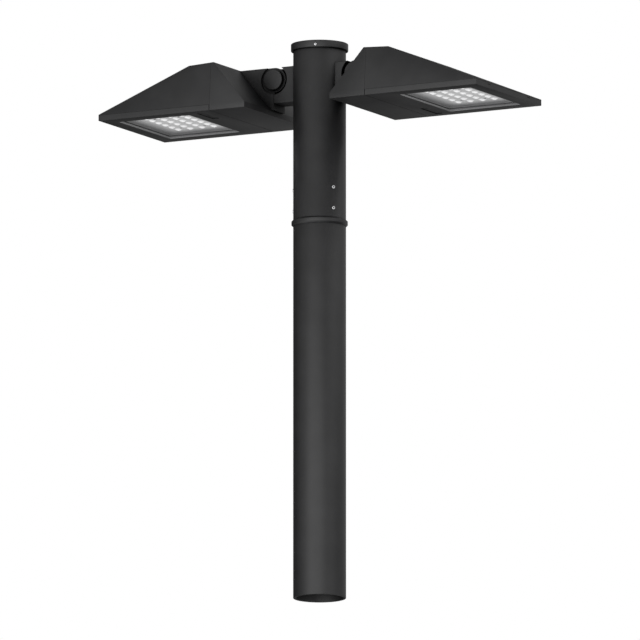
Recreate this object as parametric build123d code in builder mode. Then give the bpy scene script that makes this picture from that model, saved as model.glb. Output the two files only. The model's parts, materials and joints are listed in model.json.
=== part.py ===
"""Pole-top area light: two tilting LED heads on a round fitter, on the upper part of a steel pole.

Millimetres, +Z up.  The origin is on the pole's axis at its open lower end.  The right head reaches
towards +X, and the left head is the same set of pieces turned half round the pole.
"""

import math
import os

from build123d import *

os.makedirs("parts", exist_ok=True)

# Pole, joint sleeve and fitter
pole_radius = 63.5
pole_wall = 6.0
pole_height = 904.0
fitter_wall = 4.0
fitter_height = 440.0
sleeve_wall = 5.0
sleeve_clearance = 0.3
sleeve_seat_depth = 80.0
sleeve_reach = 220.0
collar_height = 16.0
collar_stand = 4.3
tube_drill_depth = 16.0
fitter_radius = pole_radius
fitter_bore = fitter_radius - fitter_wall
fitter_top = pole_height + fitter_height
sleeve_radius = fitter_bore - sleeve_clearance

# Cap over the fitter's top
cap_plate = 5.0
cap_skirt = 12.0
cap_stand = 5.5
cap_clearance = 0.2
cap_edge_chamfer = 1.5
cap_radius = fitter_radius + cap_stand
cap_screw_radius = 3.0
cap_screw_angle = -70.0

# Set screws that clamp the fitter on the sleeve
set_screw_radius = 4.0
set_screw_angle = -30.0
set_screw_heights = (37.0, 88.0)
screw_columns = 3
screw_stand = 1.2
hex_key_depth = 2.5

# Head: a wedge with a long falling roof and a steep rear slope
head_base = pole_height + 277.0
head_length = 400.0
head_width = 332.0
front_lip = 1.0
rear_height = 13.5
ridge_front = 156.0
ridge_rear = 88.5
ridge_front_height = 115.0
ridge_rear_height = 118.5
side_draft_inset = 9.0
head_wall = 4.0
edge_radius = 1.0

# Split of the head into rear housing, front housing and door
seam = 96.0
seam_gap = 0.8
bulkhead = 4.0
door_height = 13.5
door_gap = 0.5
flange_width = 10.0
flange_height = 3.0
parting = door_height + door_gap
front_height = parting + front_lip

# Tilt knuckle between arm and neck
arm_reach = 46.9
pivot_height = 87.0
neck_setback = 5.6
neck_half = 28.0
neck_top = 117.0
neck_nose_radius = 30.0
neck_core_bottom = 40.0
knuckle_recess_radius = 34.5
knuckle_recess_depth = 4.5
tongue_half = 12.5
tongue_radius = 28.0
washer_thickness = 1.5
washer_radius = 20.0
side_play = 0.3
round_play = 1.5
pivot_bolt_radius = 6.0
running_play = 0.08
pivot_head_radius = 10.4
pivot_head_height = 7.0
pivot_nut_height = 6.0
pivot_cap_radius = 25.0
pivot_cap_stand = 6.0
pivot_cap_wall = 2.5
pivot_cap_round = 1.5
pivot_x = pole_radius + arm_reach
pivot_z = head_base + pivot_height
rear_edge = pivot_x + neck_setback
cheek_face = neck_half - knuckle_recess_depth

# Arm and its fixing through the fitter
arm_bottom = 30.0
arm_wall = 8.0
arm_nose = 26.0
arm_gap = 1.0
arm_edge_radius = 2.0
arm_mouth_radius = 36.0
arm_gasket = 1.5
arm_bolt_radius = 5.0
arm_bolt_spacing = 56.0
arm_bolt_grip = 30.0
arm_bolt_lead = 20.0
arm_bolt_head_radius = 9.0
arm_bolt_head = 6.5
arm_boss_radius = 9.0
backing_flat = 52.0
backing_half = 22.0
backing_height = 76.0

# Window, glass and light engine
window_rear_margin = 76.0
window_front_margin = 37.0
window_side_margin = 39.0
door_plate = 3.0
door_rim = 9.0
door_front_rim = 12.5
glass_lap = 8.0
trim_flange = 1.0
trim_lip = 1.2
trim_gap = 0.3
glass_thickness = 4.0
glass_play = 0.5
glass_rail = 3.0
reflector_sheet = 0.8
reflector_gap = 0.4
reflector_depth = 4.6
reflector_lap = 4.0
lens_gap = 0.4
lens_sheet = 1.2
lens_drop = 4.4
lens_ball = 9.0
lens_lobe = 3.0
lens_play = 0.6
led_rows = 4
led_columns = 6
led_pitch = 32.5
led_size = 3.5
led_height = 0.8
led_pocket_radius = 3.2
board_edge = 16.0
board_screw_radius = 1.5
board_screw_head = 1.5
board_thickness = 1.6
spreader_thickness = 6.0
spreader_play = 2.0
post_radius = 5.0
post_inset = 16.0

# Driver side, behind the bulkhead
bracket_sheet = 2.0
bracket_lap = 4.0
driver_depth = 34.0
driver_side_margin = 76.0
driver_height = 58.0
driver_lift = 24.0
driver_edge_radius = 3.0
terminal_depth = 16.0
terminal_gap = 10.0
terminal_poles = 3
wire_hole_radius = 3.6
terminal_length = 36.0
terminal_height = 18.0
housing_screw_radius = 3.0
housing_screw_side = 31.0
housing_screw_heights = (34.0, 90.0)
housing_boss_radius = 8.0
housing_screw_grip = 18.0

# Door hinge, door seal and latch
hinge_from_front = 2.5
hinge_drop = 2.5
hinge_pin_radius = 1.2
hinge_lug_radius = 2.2
hinge_lug_width = 12.0
hinge_lug_sink = 0.55
hinge_side = 66.0
hinge_pin_length = 40.0
hinge_end_cover = 10.0
hinge_play = 0.5
seal_width = 4.0
seal_depth = 2.5
seal_inset = 3.5
latch_from_seam = 30.0
latch_length = 18.0
latch_width = 83.0
latch_side_margin = 68.0
latch_play = 0.5
latch_thickness = 4.0
latch_recess = 1.5
latch_pin_radius = 1.0
latch_lug = 5.5
latch_lug_rear = 2.0
latch_lug_front = 8.0
latch_lug_high = 7.5
hook_width = 20.0
hook_thickness = 2.5
hook_nose = 4.7
hook_play = 0.3
catch_height = 3.0

door_front = head_length - 0.5
window_rear = seam + window_rear_margin
window_front = head_length - window_front_margin
window_half = head_width / 2 - window_side_margin
window_middle = (window_rear + window_front) / 2
hinge_x = rear_edge + head_length - hinge_from_front
hinge_z = head_base + parting - hinge_drop
latch_middle = seam + 1 + latch_from_seam + latch_length / 2
latch_side = head_width / 2 - latch_side_margin
pin_hole_reach = head_width / 2 - hinge_end_cover
driver_half = head_width / 2 - driver_side_margin


def head_point(forward, up):
    """A point of the head's side view, measured from its rear lower edge."""
    return (rear_edge + forward, head_base + up)


def head_box(rear, front, half, low, high, side=0.0):
    """Corner sizes of a block in the head, as its centre and its three lengths."""
    centre = (rear_edge + (rear + front) / 2, side, head_base + (low + high) / 2)
    return centre, (front - rear, 2 * half, high - low)


def cut_box(rear, front, half, low, high, side=0.0, mode=Mode.SUBTRACT):
    """Cut, add or keep a block of the head in the part being built."""
    centre, lengths = head_box(rear, front, half, low, high, side)
    with Locations(centre):
        Box(*lengths, mode=mode)


def cross_rod(x, z, radius, half, side=0.0, mode=Mode.ADD):
    """A rod along Y in the part being built."""
    with Locations(Location((x, side, z), (90, 0, 0))):
        Cylinder(radius, 2 * half, mode=mode)


def long_rod(start, length, side, z, radius, mode=Mode.ADD, sides=0):
    """A round or hexagonal rod along +X in the part being built."""
    with BuildSketch(Plane.YZ.offset(start)) as outline:
        with Locations((side, z)):
            if sides:
                RegularPolygon(radius, sides)
            else:
                Circle(radius)
    extrude(outline.sketch, amount=length, mode=mode)


def export_piece(piece, name):
    """Write a piece that the light has once."""
    piece.part.label = name
    export_step(piece.part, f"parts/{name}.step")


def export_pair(piece, name):
    """Write a piece of the right head, and its twin turned half round the pole."""
    for side, turn in (("right", 0), ("left", 180)):
        placed = piece.part.rotate(Axis.Z, turn)
        placed.label = f"{side}_{name}"
        export_step(placed, f"parts/{side}_{name}.step")


def head_wedge(inset):
    """The head's whole outer form, or its hollow when inset is the wall's thickness."""
    outline = [
        head_point(0, 0),
        head_point(head_length, 0),
        head_point(head_length, front_height),
        head_point(ridge_front, ridge_front_height),
        head_point(ridge_rear, ridge_rear_height),
        head_point(0, rear_height),
    ]
    half = head_width / 2
    top = head_base + ridge_rear_height
    section_points = [
        (-half, head_base),
        (half, head_base),
        (half, head_base + parting),
        (half - side_draft_inset, top),
        (side_draft_inset - half, top),
        (-half, head_base + parting),
    ]
    with BuildSketch(Plane.XZ) as side_view:
        with BuildLine():
            Polyline(*outline, close=True)
        make_face()
        if inset:
            offset(amount=-inset, kind=Kind.INTERSECTION, mode=Mode.REPLACE)
    with BuildSketch(Plane.YZ) as section:
        with BuildLine():
            Polyline(*section_points, close=True)
        make_face()
        if inset:
            offset(amount=-inset, kind=Kind.INTERSECTION, mode=Mode.REPLACE)
    with BuildPart() as wedge:
        extrude(side_view.sketch, amount=half, both=True)
        extrude(section.sketch, amount=rear_edge + 2 * head_length, mode=Mode.INTERSECT)
        if not inset:
            fillet(wedge.edges(), radius=edge_radius)
    return wedge.part


# ---- Pole shaft: steel tube, square cut below, with a counterbored seat for the joint sleeve
with BuildPart() as pole_shaft:
    with BuildSketch():
        Circle(pole_radius)
        Circle(pole_radius - pole_wall, mode=Mode.SUBTRACT)
    extrude(amount=pole_height)
    with BuildSketch(Plane.XY.offset(pole_height - sleeve_seat_depth)):
        Circle(fitter_bore)
    extrude(amount=sleeve_seat_depth, mode=Mode.SUBTRACT)
export_piece(pole_shaft, "pole_shaft")

# ---- Joint sleeve: stands on the seat's shoulder and carries the fitter
with BuildPart() as joint_sleeve:
    with BuildSketch(Plane.XY.offset(pole_height - sleeve_seat_depth)):
        Circle(sleeve_radius)
        Circle(sleeve_radius - sleeve_wall, mode=Mode.SUBTRACT)
    extrude(amount=sleeve_seat_depth + sleeve_reach)
export_piece(joint_sleeve, "joint_sleeve")

# ---- Fitter tube: slips over the sleeve, with a chamfered collar at its foot
with BuildPart() as fitter_tube:
    with BuildSketch(Plane.XY.offset(pole_height)):
        Circle(fitter_radius)
    extrude(amount=fitter_height)
    with BuildSketch(Plane.XZ):
        with BuildLine():
            Polyline(
                (0, pole_height),
                (fitter_radius, pole_height),
                (fitter_radius + collar_stand, pole_height + collar_stand),
                (fitter_radius + collar_stand, pole_height + collar_height - collar_stand),
                (fitter_radius, pole_height + collar_height),
                (0, pole_height + collar_height),
                close=True,
            )
        make_face()
    revolve(axis=Axis.Z)
    with BuildSketch(Plane.XY.offset(pole_height)):
        Circle(fitter_bore)
    extrude(amount=fitter_height, mode=Mode.SUBTRACT)
    for height in set_screw_heights:
        with PolarLocations(0, screw_columns, start_angle=set_screw_angle):
            with Locations(Location((sleeve_radius, 0, pole_height + height), (0, 90, 0))):
                Cylinder(set_screw_radius, tube_drill_depth, mode=Mode.SUBTRACT)
    with PolarLocations(0, screw_columns, start_angle=cap_screw_angle):
        with Locations(Location((fitter_radius, 0, fitter_top - cap_skirt / 2), (0, 90, 0))):
            Cylinder(cap_screw_radius, tube_drill_depth, mode=Mode.SUBTRACT)
    for turn in (0, 180):
        for offset_z in (-arm_bolt_spacing / 2, arm_bolt_spacing / 2):
            bolt_z = head_base + (arm_bottom + neck_top) / 2 + offset_z
            with Locations(Location((0, 0, bolt_z), (0, 0, turn))):
                with Locations(Location((fitter_radius, 0, 0), (0, 90, 0))):
                    Cylinder(arm_bolt_radius, tube_drill_depth, mode=Mode.SUBTRACT)
export_piece(fitter_tube, "fitter_tube")

# ---- Set screws of the fitter: their tips bear on the sleeve
with BuildPart() as fitter_set_screws:
    for height in set_screw_heights:
        with PolarLocations(0, screw_columns, start_angle=set_screw_angle):
            with Locations(Location((sleeve_radius, 0, pole_height + height), (0, 90, 0))):
                Cylinder(
                    set_screw_radius,
                    fitter_radius - sleeve_radius + screw_stand,
                    align=(Align.CENTER, Align.CENTER, Align.MIN),
                )
            with Locations(Location((fitter_radius + screw_stand, 0, pole_height + height), (0, 90, 0))):
                Cylinder(set_screw_radius / 2, 2 * hex_key_depth, mode=Mode.SUBTRACT)
export_piece(fitter_set_screws, "fitter_set_screws")

# ---- Pole cap: flat cover whose skirt goes over the fitter's top
with BuildPart() as pole_cap:
    with BuildSketch(Plane.XY.offset(fitter_top - cap_skirt)):
        Circle(cap_radius)
    extrude(amount=cap_skirt + cap_plate)
    chamfer(pole_cap.edges().sort_by(Axis.Z)[-1], length=cap_edge_chamfer)
    with BuildSketch(Plane.XY.offset(fitter_top - cap_skirt)):
        Circle(fitter_radius + cap_clearance)
    extrude(amount=cap_skirt, mode=Mode.SUBTRACT)
    with PolarLocations(0, screw_columns, start_angle=cap_screw_angle):
        with Locations(Location((cap_radius, 0, fitter_top - cap_skirt / 2), (0, 90, 0))):
            Cylinder(cap_screw_radius, tube_drill_depth, mode=Mode.SUBTRACT)
export_piece(pole_cap, "pole_cap")

# ---- Cap screws: through the skirt into the fitter's wall
with BuildPart() as cap_screws:
    with PolarLocations(0, screw_columns, start_angle=cap_screw_angle):
        with Locations(Location((fitter_bore, 0, fitter_top - cap_skirt / 2), (0, 90, 0))):
            Cylinder(
                cap_screw_radius,
                cap_radius - fitter_bore + screw_stand,
                align=(Align.CENTER, Align.CENTER, Align.MIN),
            )
        with Locations(Location((cap_radius + screw_stand, 0, fitter_top - cap_skirt / 2), (0, 90, 0))):
            Cylinder(cap_screw_radius / 2, 2 * hex_key_depth, mode=Mode.SUBTRACT)
export_piece(cap_screws, "cap_screws")

# ---- Arm: hollow casting on the fitter, with the knuckle's tongue at its outer end
arm_root = fitter_radius + arm_gasket
arm_end = pivot_x - arm_gap
arm_low = head_base + arm_bottom
arm_top = head_base + neck_top
arm_middle = (arm_low + arm_top) / 2
bolt_heights = (arm_middle - arm_bolt_spacing / 2, arm_middle + arm_bolt_spacing / 2)
with BuildPart() as arm:
    with BuildSketch(Plane.XZ):
        with Locations(((arm_end) / 2, arm_middle)):
            Rectangle(arm_end, arm_top - arm_low)
    extrude(amount=neck_half, both=True)
    fillet(arm.edges().filter_by(Axis.X), radius=arm_edge_radius)
    cross_rod(pivot_x, pivot_z, arm_mouth_radius, neck_half + 1, mode=Mode.SUBTRACT)
    with BuildSketch(Plane.XZ):
        with Locations((pivot_x - arm_mouth_radius / 2, pivot_z)):
            Rectangle(arm_mouth_radius + 2, 2 * tongue_radius)
    extrude(amount=tongue_half, both=True)
    cross_rod(pivot_x, pivot_z, tongue_radius, tongue_half)
    with BuildSketch(Plane.XY.offset(arm_low + arm_wall)):
        with Locations(((arm_end - arm_nose - arm_wall) / 2, 0)):
            Rectangle(arm_end - arm_nose - arm_wall, 2 * (neck_half - arm_wall))
    extrude(amount=arm_top - arm_low - 2 * arm_wall, mode=Mode.SUBTRACT)
    for height in bolt_heights:
        long_rod(0, arm_end - arm_nose, 0, height, arm_boss_radius)
    with BuildSketch(Plane.XY.offset(arm_low - 1)):
        Circle(arm_root)
    extrude(amount=arm_top - arm_low + 2, mode=Mode.SUBTRACT)
    for height in bolt_heights:
        long_rod(
            arm_root - arm_bolt_lead, arm_bolt_grip + arm_bolt_lead, 0, height, arm_bolt_radius,
            Mode.SUBTRACT,
        )
    cross_rod(pivot_x, pivot_z, pivot_bolt_radius + running_play, neck_half, mode=Mode.SUBTRACT)
export_pair(arm, "arm")

# ---- Arm gasket: rubber saddle between the fitter and the arm
with BuildPart() as arm_seat_gasket:
    with BuildSketch(Plane.XY.offset(arm_low)):
        Circle(arm_root)
        Circle(fitter_radius, mode=Mode.SUBTRACT)
        with Locations((fitter_radius, 0)):
            Rectangle(2 * fitter_radius, 2 * neck_half, mode=Mode.INTERSECT)
    extrude(amount=arm_top - arm_low)
    for height in bolt_heights:
        long_rod(0, 2 * fitter_radius, 0, height, arm_bolt_radius, Mode.SUBTRACT)
export_pair(arm_seat_gasket, "arm_gasket")

# ---- Backing plate: flat inside, round outside, spreads the bolts' load in the fitter
with BuildPart() as backing_plate:
    with BuildSketch(Plane.XY.offset(arm_middle - backing_height / 2)):
        Circle(fitter_bore)
        with Locations((backing_flat + fitter_bore / 2, 0)):
            Rectangle(fitter_bore, 2 * backing_half, mode=Mode.INTERSECT)
    extrude(amount=backing_height)
    for height in bolt_heights:
        long_rod(0, 2 * fitter_radius, 0, height, arm_bolt_radius, Mode.SUBTRACT)
export_pair(backing_plate, "backing_plate")

# ---- Arm bolts: hexagon heads inside the fitter
with BuildPart() as arm_bolts:
    for height in bolt_heights:
        long_rod(backing_flat - arm_bolt_head, arm_bolt_head, 0, height, arm_bolt_head_radius, sides=6)
        long_rod(backing_flat, arm_root + arm_bolt_grip - backing_flat, 0, height, arm_bolt_radius)
export_pair(arm_bolts, "arm_bolts")

# ---- Friction washers: one each side of the tongue, they hold the head's tilt
with BuildPart() as friction_washers:
    for way in (-1, 1):
        washer_side = way * (tongue_half + washer_thickness / 2)
        cross_rod(pivot_x, pivot_z, washer_radius, washer_thickness / 2, washer_side)
    cross_rod(pivot_x, pivot_z, pivot_bolt_radius + running_play, neck_half, mode=Mode.SUBTRACT)
export_pair(friction_washers, "friction_washers")

# ---- Rear housing: die-cast shell with the neck and its two knuckle cheeks
outer_wedge = head_wedge(0)
inner_wedge = head_wedge(head_wall)
slot_half = tongue_half + washer_thickness + side_play
slot_radius = tongue_radius + round_play
neck_reach = (neck_top - rear_height) * ridge_rear / (ridge_rear_height - rear_height)
core_start = pivot_x + slot_radius + head_wall * 2
boss_side = head_width / 2 - housing_screw_side
with BuildPart() as rear_housing:
    add(outer_wedge)
    add(inner_wedge, mode=Mode.SUBTRACT)
    cut_box(-1, seam - seam_gap, head_width, -1, 2 * ridge_rear_height, mode=Mode.INTERSECT)
    with BuildSketch(Plane.XZ):
        with BuildLine():
            Polyline(
                (pivot_x, head_base + rear_height),
                (rear_edge + head_wall / 2, head_base + rear_height),
                (rear_edge + neck_reach + head_wall / 2, head_base + neck_top),
                (pivot_x, head_base + neck_top),
                close=True,
            )
        make_face()
        with Locations((pivot_x, pivot_z)):
            Circle(neck_nose_radius)
    extrude(amount=neck_half, both=True)
    for way in (-1, 1):
        cross_rod(
            pivot_x, pivot_z, knuckle_recess_radius, neck_half, way * (cheek_face + neck_half), Mode.SUBTRACT
        )
    with BuildSketch(Plane.XZ):
        with Locations((pivot_x, pivot_z)):
            Circle(slot_radius)
        with Locations((pivot_x, pivot_z + slot_radius)):
            Rectangle(2 * slot_radius, 2 * slot_radius)
        with Locations((pivot_x - slot_radius, pivot_z)):
            Rectangle(2 * slot_radius, 2 * slot_radius)
    extrude(amount=slot_half, both=True, mode=Mode.SUBTRACT)
    cross_rod(pivot_x, pivot_z, pivot_bolt_radius, neck_half, mode=Mode.SUBTRACT)
    core_rear = core_start - rear_edge
    core_half = neck_half - 2 * head_wall
    cut_box(core_rear, ridge_rear, core_half, neck_core_bottom, neck_top - 2 * head_wall)
    with BuildPart(mode=Mode.PRIVATE) as bosses:
        for way in (-1, 1):
            for height in housing_screw_heights:
                long_rod(rear_edge, seam, way * boss_side, head_base + height, housing_boss_radius)
        add(outer_wedge, mode=Mode.INTERSECT)
    add(bosses.part)
    for way in (-1, 1):
        for height in housing_screw_heights:
            hole_start = rear_edge + seam - housing_screw_grip
            hole_z = head_base + height
            long_rod(
                hole_start, 2 * housing_screw_grip, way * boss_side, hole_z, housing_screw_radius,
                Mode.SUBTRACT,
            )
export_pair(rear_housing, "rear_housing")

# ---- Pivot bolt, nut and the round caps that cover them
with BuildPart() as pivot_bolt:
    cross_rod(pivot_x, pivot_z, pivot_bolt_radius, cheek_face + pivot_nut_height / 2, pivot_nut_height / 2)
    with BuildSketch(Plane.XZ.offset(cheek_face)):
        with Locations((pivot_x, pivot_z)):
            RegularPolygon(pivot_head_radius, 6)
    extrude(amount=pivot_head_height)
export_pair(pivot_bolt, "pivot_bolt")

with BuildPart() as pivot_nut:
    with BuildSketch(Plane.XZ.offset(-cheek_face)):
        with Locations((pivot_x, pivot_z)):
            RegularPolygon(pivot_head_radius, 6)
            Circle(pivot_bolt_radius, mode=Mode.SUBTRACT)
    extrude(amount=-pivot_nut_height)
export_pair(pivot_nut, "pivot_nut")

with BuildPart() as pivot_caps:
    cap_depth = knuckle_recess_depth + pivot_cap_stand
    for way in (-1, 1):
        cross_rod(pivot_x, pivot_z, pivot_cap_radius, cap_depth / 2, way * (cheek_face + cap_depth / 2))
    fillet(pivot_caps.edges().filter_by(GeomType.CIRCLE).group_by(Axis.Y)[0], radius=pivot_cap_round)
    fillet(pivot_caps.edges().filter_by(GeomType.CIRCLE).group_by(Axis.Y)[-1], radius=pivot_cap_round)
    cross_rod(
        pivot_x, pivot_z, pivot_cap_radius - 3 * pivot_cap_wall, cheek_face + cap_depth - pivot_cap_wall,
        mode=Mode.SUBTRACT,
    )
export_pair(pivot_caps, "pivot_caps")

# ---- Front housing: die-cast roof with a bulkhead, a seal flange, posts, hinge lugs and the catch
reflector_low = door_plate + trim_flange + glass_thickness + reflector_gap
reflector_high = reflector_low + reflector_depth
lens_low = reflector_high + lens_gap
board_low = lens_low + lens_sheet
spreader_low = board_low + board_thickness
spreader_high = spreader_low + spreader_thickness
post_places = [
    (x, y)
    for x in (window_rear + post_inset, window_front - post_inset)
    for y in (post_inset - window_half, window_half - post_inset)
]
catch_low = parting + flange_height
latch_rear = latch_middle - latch_length / 2
latch_front = latch_middle + latch_length / 2
hook_rear = latch_rear + latch_length / 3
with BuildPart() as front_hollow:
    add(inner_wedge)
    cut_box(
        seam + bulkhead, head_length, head_width, parting + flange_height, 2 * ridge_rear_height,
        mode=Mode.INTERSECT,
    )
with BuildPart() as front_housing:
    add(outer_wedge)
    cut_box(seam, head_length + 1, head_width, parting, 2 * ridge_rear_height, mode=Mode.INTERSECT)
    add(front_hollow.part, mode=Mode.SUBTRACT)
    cut_box(
        seam + bulkhead, head_length - flange_width - bulkhead, head_width / 2 - flange_width,
        0, parting + flange_height,
    )
    for x, y in post_places:
        with BuildSketch(Plane.XY.offset(head_base + spreader_high)):
            with Locations((rear_edge + x, y)):
                Circle(post_radius)
        extrude(amount=ridge_rear_height)
    catch_front = hook_rear - hook_nose - hook_play + hook_thickness
    cut_box(seam, catch_front, hook_width, catch_low, catch_low + catch_height, latch_side, Mode.ADD)
    add(outer_wedge, mode=Mode.INTERSECT)
    for way in (-1, 1):
        lug_side = way * (head_width / 2 - hinge_side)
        lug_high = front_height + hinge_lug_sink
        lug_rear = head_length - hinge_from_front - hinge_lug_radius
        lug_front = head_length - hinge_from_front + hinge_lug_radius
        lug_low = parting - hinge_drop
        cross_rod(hinge_x, hinge_z, hinge_lug_radius, hinge_lug_width / 2, lug_side)
        cut_box(lug_rear, lug_front, hinge_lug_width / 2, lug_low, lug_high, lug_side, Mode.ADD)
    cross_rod(hinge_x, hinge_z, hinge_pin_radius + running_play, head_width, mode=Mode.SUBTRACT)
    long_rod(
        rear_edge + seam - 1, bulkhead + 2, -boss_side / 2, head_base + parting + housing_boss_radius * 2,
        housing_boss_radius, Mode.SUBTRACT,
    )
    for way in (-1, 1):
        for height in housing_screw_heights:
            long_rod(
                rear_edge + seam - 1, bulkhead + 2, way * boss_side, head_base + height,
                housing_screw_radius, Mode.SUBTRACT,
            )
export_pair(front_housing, "front_housing")

# ---- Housing screws: from the front housing's bulkhead into the rear housing's bosses
with BuildPart() as housing_screws:
    for way in (-1, 1):
        for height in housing_screw_heights:
            shank_start = rear_edge + seam - housing_screw_grip
            head_start = rear_edge + seam + bulkhead
            z = head_base + height
            long_rod(shank_start, head_start - shank_start, way * boss_side, z, housing_screw_radius)
            long_rod(head_start, bulkhead, way * boss_side, z, 2 * housing_screw_radius, sides=6)
export_pair(housing_screws, "housing_screws")

# ---- Heat spreader under the posts, LED board under it, lens array and reflector
led_places = GridLocations(led_pitch, led_pitch, led_rows, led_columns).locations
board_half = (led_columns - 1) * led_pitch / 2 + board_edge
board_reach = (led_rows - 1) * led_pitch / 2 + board_edge
engine_centre = (rear_edge + window_middle, 0)
screw_grid = GridLocations(led_pitch * (led_rows - 2), led_pitch * (led_columns - 2), 2, 2).locations
with BuildPart() as heat_spreader:
    spreader_front = window_front - spreader_play
    cut_box(window_rear, spreader_front, window_half, spreader_low, spreader_high, mode=Mode.ADD)
    with Locations((*engine_centre, head_base + spreader_low)):
        with Locations(*screw_grid):
            Cylinder(board_screw_radius, spreader_thickness, mode=Mode.SUBTRACT)
export_pair(heat_spreader, "heat_spreader")

with BuildPart() as led_board:
    with BuildSketch(Plane.XY.offset(head_base + board_low)):
        with Locations(engine_centre):
            Rectangle(2 * board_reach, 2 * board_half)
            with Locations(*screw_grid):
                Circle(board_screw_radius, mode=Mode.SUBTRACT)
    extrude(amount=board_thickness)
    with BuildSketch(Plane.XY.offset(head_base + board_low - led_height)):
        with Locations(engine_centre):
            with Locations(*led_places):
                Rectangle(led_size, led_size)
    extrude(amount=led_height)
export_pair(led_board, "led_board")

with BuildPart() as led_optics:
    with BuildSketch(Plane.XY.offset(head_base + lens_low)):
        with Locations(engine_centre):
            Rectangle(2 * board_reach, 2 * board_half)
    extrude(amount=lens_sheet)
    with Locations((*engine_centre, head_base + lens_low - lens_drop + lens_ball)):
        with Locations(*led_places):
            with Locations((0, -lens_lobe), (0, lens_lobe)):
                Sphere(lens_ball)
    cut_box(
        0, head_length, head_width, lens_low - lens_drop, lens_low + lens_sheet, mode=Mode.INTERSECT
    )
    with Locations((*engine_centre, head_base + board_low - led_height)):
        with Locations(*led_places):
            Cylinder(led_pocket_radius, 2 * led_height, mode=Mode.SUBTRACT)
    with Locations((*engine_centre, head_base + lens_low)):
        with Locations(*screw_grid):
            Cylinder(board_screw_radius, 2 * lens_drop, mode=Mode.SUBTRACT)
export_pair(led_optics, "led_optics")

lens_half = math.sqrt(lens_ball**2 - (lens_ball - lens_drop) ** 2) + lens_play
with BuildPart() as reflector_plate:
    rim_half = window_half + reflector_lap
    rim_rear = window_rear - reflector_lap
    rim_front = window_front + reflector_lap
    cut_box(rim_rear, rim_front, rim_half, reflector_low, reflector_high, mode=Mode.ADD)
    cut_box(
        rim_rear + reflector_sheet, rim_front - reflector_sheet, rim_half - reflector_sheet,
        0, reflector_high - reflector_sheet,
    )
    with BuildSketch(Plane.XY.offset(head_base + reflector_high - reflector_sheet)):
        with Locations(engine_centre):
            with Locations(*led_places):
                SlotOverall(2 * (lens_half + lens_lobe), 2 * lens_half, rotation=90)
            with Locations(*screw_grid):
                Circle(board_screw_radius)
    extrude(amount=reflector_sheet, mode=Mode.SUBTRACT)
export_pair(reflector_plate, "reflector_plate")

with BuildPart() as board_screws:
    with Locations((*engine_centre, head_base + reflector_high - reflector_sheet)):
        with Locations(*screw_grid):
            Cylinder(
                board_screw_radius,
                spreader_low - reflector_high + reflector_sheet + spreader_thickness / 2,
                align=(Align.CENTER, Align.CENTER, Align.MIN),
            )
            Cylinder(
                2 * board_screw_radius, board_screw_head, align=(Align.CENTER, Align.CENTER, Align.MAX)
            )
export_pair(board_screws, "board_screws")

# ---- Driver on its bracket, and the terminal block beside it, on the bulkhead
bracket_rear = seam + bulkhead
bracket_front = bracket_rear + bracket_sheet
driver_low = parting + driver_lift
with BuildPart() as driver_bracket:
    cut_box(
        bracket_rear, bracket_front, driver_half + 2 * bracket_lap, driver_low - bracket_lap,
        driver_low + driver_height + bracket_lap, mode=Mode.ADD,
    )
    cut_box(
        bracket_rear, bracket_front + driver_depth, driver_half, driver_low - bracket_sheet, driver_low,
        mode=Mode.ADD,
    )
export_pair(driver_bracket, "driver_bracket")

with BuildPart() as driver:
    cut_box(
        bracket_front, bracket_front + driver_depth, driver_half, driver_low, driver_low + driver_height,
        mode=Mode.ADD,
    )
    fillet(driver.edges().filter_by(Axis.Y), radius=driver_edge_radius)
export_pair(driver, "driver")

with BuildPart() as terminal_block:
    terminal_side = -driver_half - terminal_gap - terminal_length / 2
    terminal_low = sum(housing_screw_heights) / 2 - terminal_height / 2
    cut_box(
        bracket_rear, bracket_rear + terminal_depth, terminal_length / 2, terminal_low,
        terminal_low + terminal_height, terminal_side, Mode.ADD,
    )
    for pole_index in range(terminal_poles):
        from_middle = pole_index - (terminal_poles - 1) / 2
        y = terminal_side + from_middle * terminal_length / terminal_poles
        long_rod(
            rear_edge + bracket_rear + terminal_depth / 2, terminal_depth, y,
            head_base + terminal_low + terminal_height / 2, wire_hole_radius, Mode.SUBTRACT,
        )
export_pair(terminal_block, "terminal_block")

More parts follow.
